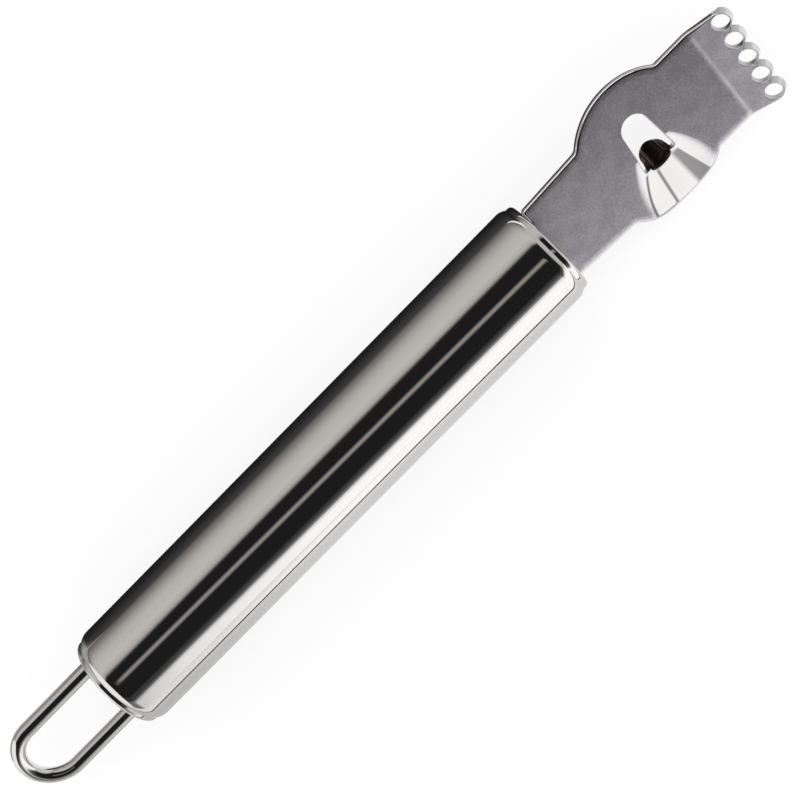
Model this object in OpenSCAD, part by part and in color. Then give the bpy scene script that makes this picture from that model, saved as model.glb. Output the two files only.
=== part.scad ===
// Citrus zester with a channel knife, lying at rest on its handle and on the channel's rim.
// Tool frame: +X runs along the handle towards the zesting tip, the sheet of the blade is z = 0,
// and x = 0 is the outer face of the front cap. The last lines of this file roll that frame about
// X and lift it, so that the tool lies on z = 0 with the channel knife turned down.

/* [Handle] */
// Outer diameter of the handle tube
handle_d = 18; // [15:0.5:20]
// Length of the handle from cap face to cap face
handle_len = 96.4; // [70:0.2:130]
// Wall of the handle tube
tube_wall = 0.6; // [0.4:0.1:0.8]
// How far each end of the tube is drawn in
neck_in = 0.55; // [0.3:0.05:0.55]
// Length over which each end of the tube is drawn in
neck_run = 1.6; // [1.6:0.1:2.4]

/* [Caps] */
// Thickness of each cap, which stands proud of the tube
cap_t = 1.1; // [0.8:0.1:2]
// Rounding of each cap's outer edge
cap_edge_r = 0.7; // [0.3:0.1:0.7]
// Depth of each cap's skirt inside the tube
skirt_len = 5; // [3:0.5:10]
// Wall of each cap's skirt
skirt_wall = 0.8; // [0.5:0.1:0.9]

/* [Blade] */
// Thickness of the blade's sheet
sheet_t = 1.3; // [1:0.1:1.5]
// Width of the blade where it meets the front cap
neck_base_w = 15; // [12:0.5:15.5]
// Width of the blade where it runs into the lobes
neck_top_w = 15.9; // [15:0.1:16.5]
// Rounding of the shoulders that sit on the front cap
shoulder_r = 0.7; // [0.3:0.1:1.2]
// Distance from the front cap to the centre of the lobes
lobe_x = 21.1; // [19:0.1:24]
// Radius of the lobes
lobe_r = 12.3; // [12:0.1:13.5]
// Fillet between each lobe and the neck
neck_fillet_r = 1.5; // [0.8:0.1:2.5]
// Fillet between each lobe and the tip
tip_fillet_r = 0.8; // [0.6:0.1:1.5]
// Distance from the front cap to where the bend starts
bend_x = 35.4; // [34:0.1:39]
// Angle by which the zesting tip is bent up
bend_angle = 28; // [15:1:40]
// Radius of the bend at the middle of the sheet
bend_r = 2; // [1.2:0.1:2.5]
// Width of the blade at the bend
tip_w = 18.1; // [17:0.1:18.5]
// Width of the tang inside the handle
tang_w = 10; // [6:0.5:12]
// Length of the tang from the front cap's face
tang_len = 24; // [12:1:40]

/* [Zesting holes] */
// Number of zesting holes
hole_count = 5; // [5:1:5]
// Diameter of each zesting hole
hole_d = 2.85; // [2:0.05:3]
// Distance between the centres of the holes
hole_pitch = 3.68; // [3.6:0.02:3.8]
// Distance from the end of the bend to the row of holes
hole_row = 4.65; // [4:0.05:8]
// Land between each hole and its cutting edge on the upper face
edge_land = 0.15; // [0.1:0.05:0.25]
// Land between each hole and the scalloped edge on the lower face
heel_land = 0.52; // [0.4:0.02:0.6]

/* [Channel knife] */
// Radius of the slot's round end
slot_r = 2.4; // [2.1:0.1:2.5]
// Distance from the tool's axis to the centre of the slot's round end
slot_top_y = 3.7; // [3:0.1:5]
// Distance from the tool's axis to the slit at the slot's lower end
slit_y = 3.3; // [3.1:0.1:3.5]
// Angle by which each side of the slot leans outwards
slot_lean = 6.3; // [4:0.1:7]
// Radius of the slot's lower corners
slot_corner_r = 0.5; // [0.3:0.1:0.7]
// Depth of the pressed trough at the rim of the lobe
trough_depth = 1.95; // [1:0.05:2.5]
// Half width of the trough at its upper end
trough_half_top = 3.2; // [3:0.1:3.6]
// Half width of the trough at the rim of the lobe
trough_half_rim = 6.6; // [5.5:0.1:7]
// Half width of the cutting lip
lip_half_w = 2; // [1.7:0.1:2.1]
// Depth of the cutting lip below the sheet
lip_depth = 2.75; // [2.4:0.05:3.2]
// Distance from the tool's axis to the foremost point of the cutting lip
lip_front_y = 0.8; // [0.5:0.1:1.5]
// How far the sides of the cutting lip lie behind its foremost point
lip_rake = 1.35; // [0.8:0.05:1.8]
// Thickness of the cutting lip at its edge
lip_t = 0.6; // [0.4:0.1:0.8]

/* [Hanging loop] */
// Diameter of the loop's wire
wire_d = 2.6; // [1.6:0.1:2.8]
// How far the middle of each leg of the loop lies inside the handle's outer surface
leg_inset = 3.65; // [3.65:0.05:5]
// How far the loop stands out from the rear cap
loop_out = 21.2; // [14:0.2:30]
// Length of each leg inside the handle
leg_in = 9; // [6:0.5:20]

/* [Fits] */
// Clearance round each piece that passes through or into a cap or the tube
fit = 0.05; // [0.03:0.01:0.1]

/* [Hidden] */
$fn = 96;
past = 1;                               // how far a cutter runs past what it cuts
lap = 0.1;                              // how far each flat stretch of the tip runs into the bend
swell = 0.005;                          // by which bend and fillets are thicker on each side
sink = 0.02;                            // how far each fillet runs into the edges that it joins
weld = 0.05;                            // how far the pressed trough and the flat lobe overlap

handle_r = handle_d / 2;
bore_r = handle_r - tube_wall;
mouth_r = handle_r - neck_in;           // outer radius of the tube's drawn-in ends
// The drawn-in end is an arc that leaves the tube tangentially
neck_arc_r = (neck_run * neck_run + neck_in * neck_in) / (2 * neck_in);
throat_arc_r = neck_arc_r - tube_wall;
throat_r = bore_r - throat_arc_r + sqrt(throat_arc_r * throat_arc_r - neck_run * neck_run);
skirt_r = throat_r - fit;

half_t = sheet_t / 2;
shoulder_lean = atan((neck_top_w - neck_base_w) / 2 / (lobe_x - lobe_r));
neck_lobe_w = neck_base_w + 2 * lobe_x * tan(shoulder_lean);  // width of the neck at the lobes' centre
tip_end_w = (hole_count - 1) * hole_pitch + hole_d + 2 * heel_land;
tooth_top_r = hole_d / 2 + edge_land;
tooth_heel_r = hole_d / 2 + heel_land;

loop_r = handle_r - leg_inset;
loop_x = -handle_len - loop_out + wire_d / 2 + loop_r;  // centre of the loop's round end

trough_apex_y = 4;                      // the trough's bottom line meets the sheet above the axis here
// Lowest point of the tool when rolled: the round rim of the trough, at its middle
rim_arm = lobe_r - half_t;
rim_drop = trough_depth * (trough_apex_y + rim_arm) / (trough_apex_y + lobe_r);
rest_roll = asin((handle_r - half_t) / norm([rim_arm, rim_drop])) - atan2(rim_drop, rim_arm);
reach_front = bend_x + (hole_row + tooth_heel_r) * cos(bend_angle) + (bend_r + half_t) * sin(bend_angle);
reach_back = handle_len + loop_out;
front_x = (reach_back - reach_front) / 2;  // puts the origin below the middle of the tool

// Trough of the channel knife
trough_top_y = 0.45;                    // the trough starts this far below the tool's axis
trough_full_y = 10.2;                   // and has its full width from here on
trough_round = 1.25;                    // exponent of its section: a dish with a soft edge
trough_cols = 22;
trough_rows = 11;
slot_steps = 10;                        // sides of each rounded corner of the slot
rim_steps = [25, 50, 75];               // angles of the rows that round the rim

// Cutting lip
crease_y = 4.4;                         // the lip leaves the trough's bottom line here
crease_sag = 0.75;                      // the ends of that crease lie this much higher up
crease_half_w = 2.2;
lip_cols = 16;
lip_rows = 9;
lip_bend = 0.3;                         // share of the lip's length that is its bend
root_y = 0.3;                           // how far the lip's root runs back into the trough
root_in = 0.1;                          // by which the root is thinner than the sheet

function trough_share(y) = max(0, min(1, (-trough_top_y - y) / (trough_full_y - trough_top_y)));
function trough_half(y) = trough_half_top
    + (trough_half_rim - trough_half_top) * (1 - pow(1 - trough_share(y), 2));
function trough_bottom(y) = trough_depth * (trough_apex_y - y) / (trough_apex_y + lobe_r);
function dish(q) = abs(q) >= 1 ? 0 : pow(1 - q * q, trough_round);
// Height of the sheet's middle at x from the lobe's centre line and y from the axis
function sheet_z(x, y) = -trough_bottom(y) * dish(x / trough_half(y));

// Point of the trough at q across it, from -1 to 1, and at s from its upper end to the rim
function trough_row_y(q, s) =
    -trough_top_y + s * (trough_top_y - sqrt(pow(rim_arm, 2) - pow(q * trough_half_rim, 2)));
function trough_point(q, s) = let (y = trough_row_y(q, s), x = q * trough_half(y)) [x, y, sheet_z(x, y)];
function rim_point(q, a) = let (p = trough_point(q, 1), k = 1 + half_t * sin(a) / rim_arm)
    [p.x * k, p.y * k, p.z];
function trough_grid(side) = concat(
    [for (j = [0 : trough_rows]) [for (i = [0 : trough_cols])
        trough_point(2 * i / trough_cols - 1, j / trough_rows) + [0, 0, side * half_t]]],
    [for (a = rim_steps) [for (i = [0 : trough_cols])
        rim_point(2 * i / trough_cols - 1, a) + [0, 0, side * half_t * cos(a)]]]);

// Middle surface of the cutting lip: a is the angle round it, s runs from crease to edge
function crease_point(a) = let (x = crease_half_w * sin(a), y = -crease_y + crease_sag * (1 - cos(a)))
    [x, y, sheet_z(x, y)];
function edge_point(a) = [lip_half_w * sin(a), -lip_front_y - lip_rake * (1 - cos(a)),
    -lip_depth + lip_half_w * (1 - cos(a))];
function ease(s) = let (k = 1 - lip_bend / 2)
    s < lip_bend ? s * s / (2 * lip_bend * k) : (s - lip_bend / 2) / k;
function lip_point(a, s) = let (c = crease_point(a), e = edge_point(a))
    [c.x + (e.x - c.x) * s, c.y + (e.y - c.y) * s, c.z + (e.z - c.z) * ease(s)];
function lip_normal(a, s) = let (
    da = lip_point(a + 1, s) - lip_point(a - 1, s),
    ds = lip_point(a, min(1, s + 0.01)) - lip_point(a, max(0, s - 0.01)),
    n = cross(da, ds)) n / norm(n);
function root_point(a) = let (c = crease_point(a), y = c.y - root_y) [c.x, y, sheet_z(c.x, y)];
function lip_angle(i) = 180 * i / lip_cols - 90;
function lip_grid(side) = concat(
    [for (j = [lip_rows : -1 : 0]) [for (i = [0 : lip_cols]) let (a = lip_angle(i), s = j / lip_rows)
        lip_point(a, s) + side * (sheet_t + (lip_t - sheet_t) * s) / 2 * lip_normal(a, s)]],
    [[for (i = [0 : lip_cols]) root_point(lip_angle(i)) + [0, 0, side * (half_t - root_in)]]]);

// A closed sheet between two grids of points with the same rows and columns
module sheet_between(upper, lower) {
    rows = len(upper);
    cols = len(upper[0]);
    n = rows * cols;
    points = concat([for (r = upper) each r], [for (r = lower) each r]);
    function at(j, i) = j * cols + i;
    faces = concat(
        [for (j = [0 : rows - 2], i = [0 : cols - 2]) each [
            [at(j, i), at(j, i + 1), at(j + 1, i + 1)],
            [at(j, i), at(j + 1, i + 1), at(j + 1, i)],
            [n + at(j, i), n + at(j + 1, i + 1), n + at(j, i + 1)],
            [n + at(j, i), n + at(j + 1, i), n + at(j + 1, i + 1)]]],
        [for (j = [0 : rows - 2]) each [
            [at(j, 0), at(j + 1, 0), n + at(j + 1, 0)],
            [at(j, 0), n + at(j + 1, 0), n + at(j, 0)],
            [at(j, cols - 1), n + at(j + 1, cols - 1), at(j + 1, cols - 1)],
            [at(j, cols - 1), n + at(j, cols - 1), n + at(j + 1, cols - 1)]]],
        [for (i = [0 : cols - 2]) each [
            [at(0, i), n + at(0, i), n + at(0, i + 1)],
            [at(0, i), n + at(0, i + 1), at(0, i + 1)],
            [at(rows - 1, i), n + at(rows - 1, i + 1), n + at(rows - 1, i)],
            [at(rows - 1, i), at(rows - 1, i + 1), n + at(rows - 1, i + 1)]]]);
    polyhedron(points, faces);
}

// Half profile of a tube's solid body with drawn-in ends, standing on y = 0
module drawn_profile(r, arc_r, len) {
    translate([0, neck_run]) square([r, len - 2 * neck_run]);
    for (end = [0, 1]) translate([0, end * len]) mirror([0, end]) intersection() {
        square([r, neck_run]);
        union() {
            square([r - arc_r, neck_run]);
            translate([r - arc_r, neck_run]) circle(arc_r);
        }
    }
}

// Turns a part that was revolved about Z so that it lies along X and starts at x
module along_x(x) {
    translate([x, 0, 0]) rotate([0, 90, 0]) children();
}

module handle_tube() {
    body_len = handle_len - 2 * cap_t;
    color("silver") along_x(-handle_len + cap_t) rotate_extrude() difference() {
        drawn_profile(handle_r, neck_arc_r, body_len);
        drawn_profile(bore_r, throat_arc_r, body_len);
    }
}

// A pressed cap whose outer face is z = 0 and whose skirt points up
module cap_blank() {
    rotate_extrude() {
        translate([0, cap_edge_r]) square([mouth_r, cap_t - cap_edge_r]);
        square([mouth_r - cap_edge_r, cap_t]);
        intersection() {
            translate([mouth_r - cap_edge_r, cap_edge_r]) circle(cap_edge_r);
            square([mouth_r, cap_t]);
        }
        translate([skirt_r - skirt_wall, 0]) square([skirt_wall, cap_t + skirt_len]);
    }
}

module front_cap() {
    color("gainsboro") difference() {
        mirror([1, 0, 0]) along_x(0) cap_blank();
        translate([-cap_t - past, -tang_w / 2 - fit, -half_t - fit])
            cube([cap_t + 2 * past, tang_w + 2 * fit, sheet_t + 2 * fit]);
    }
}

module rear_cap() {
    color("gainsboro") difference() {
        along_x(-handle_len) cap_blank();
        for (side = [-1, 1]) translate([-handle_len - past, side * loop_r, 0])
            rotate([0, 90, 0]) cylinder(h = cap_t + 2 * past, d = wire_d + 2 * fit);
    }
}

// A strip of sheet from x = 0 to len with round edges, as wide as given at each end
module strip(len, w_start, w_end) {
    lean = atan((w_end - w_start) / 2 / len);
    widest = max(w_start, w_end);
    run = past + widest * tan(abs(lean));  // the leaning sides run this far past both ends
    intersection_for (side = [0, 1]) mirror([0, side, 0])
        intersection() {
            translate([0, w_start / 2, 0]) rotate([0, 0, lean]) translate([-run, 0, 0])
                rotate([90, 0, 90]) linear_extrude(len / cos(lean) + 2 * run) {
                    translate([-widest - past, -half_t]) square([widest + past - half_t, sheet_t]);
                    translate([-half_t, 0]) circle(half_t);
                }
            translate([0, -widest, -half_t]) cube([len, 2 * widest, sheet_t]);
        }
}

// A disc of sheet with a round rim, which makes both lobes
module lobes() {
    translate([lobe_x, 0, 0]) rotate_extrude() {
        translate([0, -half_t]) square([rim_arm, sheet_t]);
        intersection() {
            translate([rim_arm, 0]) circle(half_t);
            translate([0, -half_t]) square([lobe_r, sheet_t]);
        }
    }
}

module tang() {
    translate([-tang_len, -tang_w / 2, -half_t]) cube([tang_len + shoulder_r, tang_w, sheet_t]);
}

// Both fillets between the lobes and the edges on their +X side, which lean by lean and are half_w
// from the axis at the lobes' centre; r is their radius
module fillets(r, half_w, lean) {
    t = half_t + swell;
    reach = lobe_r + r - sink;
    turn = acos((half_w * cos(lean) + r - sink) / reach);
    for (side = [0, 1]) mirror([0, side, 0])
        translate([reach * sin(turn + lean), reach * cos(turn + lean), 0]) rotate([0, 0, 270 - turn - lean])
            rotate_extrude(angle = turn) {
                translate([r + half_t, -t]) square([sheet_t, 2 * t]);
                translate([r + half_t, 0]) circle(t);
            }
}

// What rounds the two shoulders, seen from above
module shoulder_corners() {
    for (side = [-1, 1]) scale([1, side, 1])
        translate([0, neck_base_w / 2, -sheet_t]) linear_extrude(2 * sheet_t) difference() {
            translate([-past, -shoulder_r]) square([past + shoulder_r, shoulder_r + past]);
            translate([shoulder_r, -shoulder_r]) circle(shoulder_r);
        }
}

module bend() {
    t = half_t + swell;
    translate([bend_x, 0, bend_r]) rotate([90, 0, 0]) rotate([0, 0, -90])
        rotate_extrude(angle = bend_angle) {
            translate([bend_r - t, -tip_w / 2 + half_t]) square([2 * t, tip_w - sheet_t]);
            for (side = [-1, 1]) translate([bend_r, side * (tip_w / 2 - half_t)]) circle(t);
        }
}

// The plate beyond the bend with its scalloped edge, flat, the end of the bend at x = 0
module comb() {
    spread = (tip_end_w - tip_w) / hole_row;
    valley = hole_row + edge_land;
    valley_heel = hole_row + heel_land;
    start = hole_row / 2;
    ys = [for (i = [0 : hole_count - 1]) (i - (hole_count - 1) / 2) * hole_pitch];
    difference() {
        union() {
            translate([-lap, 0, 0]) strip(hole_row + lap, tip_w - lap * spread, tip_end_w);
            rotate([90, 0, 0]) linear_extrude(ys[hole_count - 1] - ys[0], center = true)
                polygon([[start, -half_t], [valley_heel, -half_t], [valley, half_t], [start, half_t]]);
            for (y = ys) translate([hole_row, y, -half_t])
                cylinder(h = sheet_t, r1 = tooth_heel_r, r2 = tooth_top_r);
        }
        for (y = ys) translate([hole_row, y, -sheet_t]) cylinder(h = 2 * sheet_t, d = hole_d);
    }
}

// Plan of the slot: a round end, leaning sides and rounded lower corners
module slot_plan() {
    corner_y = slot_corner_r - slit_y;
    corner_x = (slot_r - slot_corner_r + (slot_top_y - corner_y) * sin(slot_lean)) / cos(slot_lean);
    right = [for (i = [0 : slot_steps]) let (a = slot_lean - (90 + slot_lean) * i / slot_steps)
        [corner_x + slot_corner_r * cos(a), corner_y + slot_corner_r * sin(a)]];
    turn = (90 - slot_lean) / slot_steps;
    top = [for (i = [0 : 2 * slot_steps]) let (a = 180 - slot_lean - turn * i)
        [slot_r * cos(a), slot_top_y + slot_r * sin(a)]];
    polygon(concat(top, right, [for (i = [slot_steps : -1 : 0]) [-right[i].x, right[i].y]]));
}

// Plan that is cut out of the flat lobe for the trough, which overlaps its edges by weld
module trough_plan() {
    edge = concat([for (j = [0 : trough_rows]) trough_point(1, j / trough_rows)],
        [for (a = rim_steps) rim_point(1, a)], [rim_point(1, 90) * (1 + past / lobe_r)]);
    side = [for (p = edge) [p.x - weld, min(p.y, -trough_top_y - weld)]];
    end_x = side[len(side) - 1].x;
    polygon(concat(side, [[end_x, -lobe_r - past], [-end_x, -lobe_r - past]],
        [for (i = [len(side) - 1 : -1 : 0]) [-side[i].x, side[i].y]]));
}

// Plan of the opening that the cutting lip leaves in the trough
module lip_plan() {
    k = 1 - root_in / crease_half_w / 2;
    polygon(concat([for (i = [0 : lip_cols]) let (p = crease_point(lip_angle(i))) [p.x * k, p.y]],
        [[crease_half_w * k, -slit_y + root_y], [-crease_half_w * k, -slit_y + root_y]]));
}

module channel_knife() {
    difference() {
        sheet_between(trough_grid(1), trough_grid(-1));
        translate([0, 0, -lobe_r]) linear_extrude(2 * lobe_r) slot_plan();
        translate([0, 0, -lobe_r]) linear_extrude(2 * lobe_r) lip_plan();
    }
    sheet_between(lip_grid(1), lip_grid(-1));
}

module blade() {
    color("slategray") {
        difference() {
            union() {
                strip(lobe_x, neck_base_w, neck_lobe_w);
                lobes();
                translate([lobe_x, 0, 0]) strip(bend_x - lobe_x + lap, tip_w, tip_w);
                translate([lobe_x, 0, 0]) fillets(tip_fillet_r, tip_w / 2, 0);
                translate([lobe_x, 0, 0]) mirror([1, 0, 0]) fillets(neck_fillet_r, neck_lobe_w / 2, shoulder_lean);
            }
            shoulder_corners();
            translate([lobe_x, 0, -sheet_t]) linear_extrude(2 * sheet_t) slot_plan();
            translate([lobe_x, 0, -sheet_t]) linear_extrude(2 * sheet_t) trough_plan();
        }
        tang();
        bend();
        translate([bend_x, 0, bend_r]) rotate([0, -bend_angle, 0]) translate([0, 0, -bend_r]) comb();
        translate([lobe_x, 0, 0]) channel_knife();
    }
}

module hanging_loop() {
    leg_len = leg_in + loop_out - wire_d / 2 - loop_r;
    color("darkgray") {
        for (side = [-1, 1]) translate([loop_x, side * loop_r, 0])
            rotate([0, 90, 0]) cylinder(h = leg_len, d = wire_d);
        translate([loop_x, 0, 0]) rotate([0, 0, 90]) rotate_extrude(angle = 180)
            translate([loop_r, 0]) circle(d = wire_d);
    }
}

// Lays the tool down: rolled onto the trough's rim and lifted onto z = 0
module at_rest() {
    translate([front_x, 0, handle_r]) rotate([rest_roll, 0, 0]) children();
}

at_rest() handle_tube();
at_rest() front_cap();
at_rest() rear_cap();
at_rest() blade();
at_rest() hanging_loop();
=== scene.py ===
"""Citrus zester with a channel knife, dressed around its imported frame.

Lengths below are in millimetres in the tool's own frame: +X along the handle towards the zesting
tip, the sheet of the blade at z = 0, x = 0 on the front cap. to_world() rolls that frame onto the
floor and turns it into metres, as the part's source does.
"""
import math

import bpy
import numpy as np
from mathutils import Matrix, Vector
from mathutils.geometry import delaunay_2d_cdt


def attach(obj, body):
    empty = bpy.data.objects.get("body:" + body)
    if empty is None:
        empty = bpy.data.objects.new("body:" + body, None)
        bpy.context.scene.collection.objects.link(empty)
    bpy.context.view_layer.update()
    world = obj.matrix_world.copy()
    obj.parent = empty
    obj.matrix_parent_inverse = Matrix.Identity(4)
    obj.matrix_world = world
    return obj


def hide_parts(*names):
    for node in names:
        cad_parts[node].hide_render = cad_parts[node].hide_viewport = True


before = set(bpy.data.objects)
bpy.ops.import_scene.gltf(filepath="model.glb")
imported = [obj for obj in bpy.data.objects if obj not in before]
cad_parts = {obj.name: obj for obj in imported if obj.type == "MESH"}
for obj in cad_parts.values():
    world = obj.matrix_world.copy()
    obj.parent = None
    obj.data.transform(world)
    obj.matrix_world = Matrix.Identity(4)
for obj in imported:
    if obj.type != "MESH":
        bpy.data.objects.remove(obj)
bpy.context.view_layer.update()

# Sizes of the part, though the trough, the lip and the bend differ a little from its source
HANDLE_R, HANDLE_LEN, TUBE_WALL = 9.0, 96.4, 0.6
NECK_IN, NECK_RUN = 0.55, 1.6
CAP_T, CAP_EDGE_R = 1.1, 0.7
SKIRT_LEN, SKIRT_WALL, FIT = 5.0, 0.8, 0.05
HALF_T = 0.65
NECK_BASE_W, NECK_TOP_W, SHOULDER_R = 15.0, 15.9, 0.7
LOBE_X, LOBE_R = 21.1, 12.3
NECK_FILLET_R, TIP_FILLET_R = 1.5, 0.8
BEND_X, BEND_ANGLE, BEND_R, TIP_W = 35.0, math.radians(28), 3.6, 18.1
TANG_W, TANG_LEN, TANG_END_R, TANG_CORNER_R = 10.0, 24.0, 1.0, 0.3
HOLES, HOLE_R, HOLE_PITCH, HOLE_ROW = 5, 1.425, 3.68, 4.25
EDGE_LAND, HEEL_LAND = 0.15, 0.52
SLOT_R, SLOT_TOP_Y, SLIT_Y = 2.4, 3.7, 3.3
SLOT_LEAN, SLOT_CORNER_R = math.radians(6.3), 0.5
TROUGH_DEPTH, TROUGH_HALF_TOP, TROUGH_HALF_RIM = 1.95, 3.6, 7.2
TROUGH_TOP_Y, TROUGH_FULL_Y, TROUGH_APEX_Y, TROUGH_ROUND = 0.45, 10.2, 4.0, 1.6
LIP_HALF_W, LIP_RISE, LIP_DEPTH, LIP_FRONT_Y, LIP_RAKE, LIP_T = 2.0, 2.0, 2.75, 0.7, 1.35, 0.6
CREASE_Y, CREASE_SAG, CREASE_HALF_W, LIP_BEND = 4.4, 0.9, 2.0, 0.3
WIRE_R, LEG_INSET, LOOP_OUT, LEG_IN = 1.3, 3.65, 21.2, 9.0
# How far outlines are drawn in, so that the visual pieces stay inside the part's box
LOBE_TRIM, SIDE_TRIM, LOOP_TRIM, ROW_TRIM, TUBE_TRIM = 0.09, 0.08, 0.005, 0.003, 0.002

RIM_ARM = LOBE_R - HALF_T
RIM_DROP = TROUGH_DEPTH * (TROUGH_APEX_Y + RIM_ARM) / (TROUGH_APEX_Y + LOBE_R)
ROLL = math.asin((HANDLE_R - HALF_T) / math.hypot(RIM_ARM, RIM_DROP)) - math.atan2(RIM_DROP, RIM_ARM)
TOOTH_HEEL_R = HOLE_R + HEEL_LAND
ROUND_LOBE_R = LOBE_R - LOBE_TRIM
BEND_LEN = BEND_R * BEND_ANGLE
REACH_FRONT = (BEND_X + (HOLE_ROW + TOOTH_HEEL_R) * math.cos(BEND_ANGLE)
               + (BEND_R + HALF_T) * math.sin(BEND_ANGLE))
FRONT_X = (HANDLE_LEN + LOOP_OUT - REACH_FRONT) / 2


def to_world(points):
    """Tool frame in millimetres to the part's frame in metres."""
    p = np.asarray(points, float)
    c, s = math.cos(ROLL), math.sin(ROLL)
    return np.stack([p[:, 0] + FRONT_X, p[:, 1] * c - p[:, 2] * s,
                     p[:, 1] * s + p[:, 2] * c + HANDLE_R], axis=1) / 1000


def turn_to_world(vectors):
    v = np.asarray(vectors, float)
    c, s = math.cos(ROLL), math.sin(ROLL)
    return np.stack([v[:, 0], v[:, 1] * c - v[:, 2] * s, v[:, 1] * s + v[:, 2] * c], axis=1)


class Shell:
    """A closed mesh whose faces belong to groups that are smooth inside and sharp between."""

    def __init__(self):
        self.points, self.faces, self.groups = [], [], []
        self.known = {}
        self.shine, self.plan = [], []
        self.group_shine = {}

    def add(self, points, shine=0.0, plan=None):
        start = len(self.points)
        self.points.extend(map(tuple, points))
        self.shine.extend(np.broadcast_to(shine, len(points)).tolist())
        if plan is None:
            self.plan.extend([(0.0, 0.0, 0.0)] * len(points))
        else:
            self.plan.extend((p[0], p[1], 1.0) for p in plan)
        return list(range(start, start + len(points)))

    def face(self, corners, group):
        kept = [c for k, c in enumerate(corners) if c != corners[k - 1]]
        if len(kept) > 2:
            self.faces.append(kept)
            self.groups.append(group)

    def band(self, ring_a, ring_b, group, closed=True):
        n = len(ring_a)
        for k in range(n if closed else n - 1):
            m = (k + 1) % n
            self.face([ring_a[k], ring_a[m], ring_b[m], ring_b[k]], group)

    def normal(self, indices, vectors, group):
        for i, v in zip(indices, vectors):
            self.known[i, group] = v

    def corner_normals(self, pts):
        """A normal for each corner of each face: the known one, or the mean of its group's faces."""
        sums = {}
        for face, group in zip(self.faces, self.groups):
            p = pts[face]
            n = np.zeros(3)
            for k in range(1, len(face) - 1):
                n += np.cross(p[k] - p[0], p[k + 1] - p[0])
            for i in face:
                sums[i, group] = sums.get((i, group), 0) + n
        normals = []
        for face, group in zip(self.faces, self.groups):
            for i in face:
                n = np.asarray(self.known.get((i, group), sums[i, group]), float)
                normals.append(n / max(np.linalg.norm(n), 1e-12))
        return normals

    def add_attributes(self, mesh):
        """Stores the burnish of each corner and the plan of each point, which the satin steel reads."""
        shine = mesh.attributes.new("burnish", "FLOAT", "CORNER")
        shine.data.foreach_set("value", [self.group_shine.get(group, self.shine[i])
                                         for face, group in zip(self.faces, self.groups) for i in face])
        plan = mesh.attributes.new("plan", "FLOAT_VECTOR", "POINT")
        plan.data.foreach_set("vector", [v for p in self.plan for v in p])

    def build(self, name, material, materials_by_group=None, slot="polished_steel", node=None):
        pts = np.array(self.points)
        mesh = bpy.data.meshes.new(name)
        mesh.from_pydata(to_world(pts).tolist(), [], self.faces)
        mesh.polygons.foreach_set("use_smooth", [True] * len(mesh.polygons))
        order = {material.name: 0}
        mesh.materials.append(material)
        by_group = materials_by_group or {}
        for other in by_group.values():
            if other.name not in order:
                order[other.name] = len(mesh.materials)
                mesh.materials.append(other)
        indices = [order[by_group.get(group, material).name] for group in self.groups]
        mesh.polygons.foreach_set("material_index", indices)
        self.add_attributes(mesh)
        mesh.normals_split_custom_set(turn_to_world(self.corner_normals(pts)).tolist())
        mesh.update()
        obj = bpy.data.objects.new(name, mesh)
        bpy.context.scene.collection.objects.link(obj)
        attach(obj, "root")
        if node:
            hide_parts(node)
        return obj


# Materials

CELLS_A_MM = 1000                             # makes the noise's stretch a number of cells a millimetre
BUMP_DEPTH = 0.00002
GRAIN_SHARE, CLOUD_SHARE = 0.6, 0.4
FLAT_DARK, FLAT_LIGHT, TROUGH_LIGHT = (0.61, 0.588, 0.628), (0.79, 0.762, 0.805), (0.74, 0.727, 0.72)
# Colour of the painted dark reflection streaks in the trough
PAINTED_STREAK_DARK = (0.14, 0.136, 0.14)

# Painted reflection: dark streaks in the trough, along curves x = a + b y + c y y of the plan: curve, half
# width, softness, top, share
NARROW_PAINTED_STREAKS = (
    ((20.916, 1.006, 0.0419), 0.13, 0.24, -3.3, 0.92),
    ((20.185, 0.0989, 0.0), 0.15, 0.24, -4.1, 0.82),
)
NARROW_FADE = 0.5
# The painted reflection streaks along the rim, and the broad one
RIM_MARK_R, RIM_MARK_ENDS, RIM_MARK_FADE, RIM_MARK_SHARE = 11.75, ((14.9, 19.2), (23.5, 26.4)), 0.3, 0.8
RIM_MARK_HALF, RIM_MARK_EDGE, RIM_MARK_LOW, RIM_MARK_TOP = 0.06, 0.22, -8.5, -8.0
BROAD_LEFT, BROAD_RIGHT = (22.72, -0.0769, 0.0), (23.06, -0.288, 0.0)
BROAD_TOP, BROAD_FADE, BROAD_SHARE = -3.6, 0.6, 0.80


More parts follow.
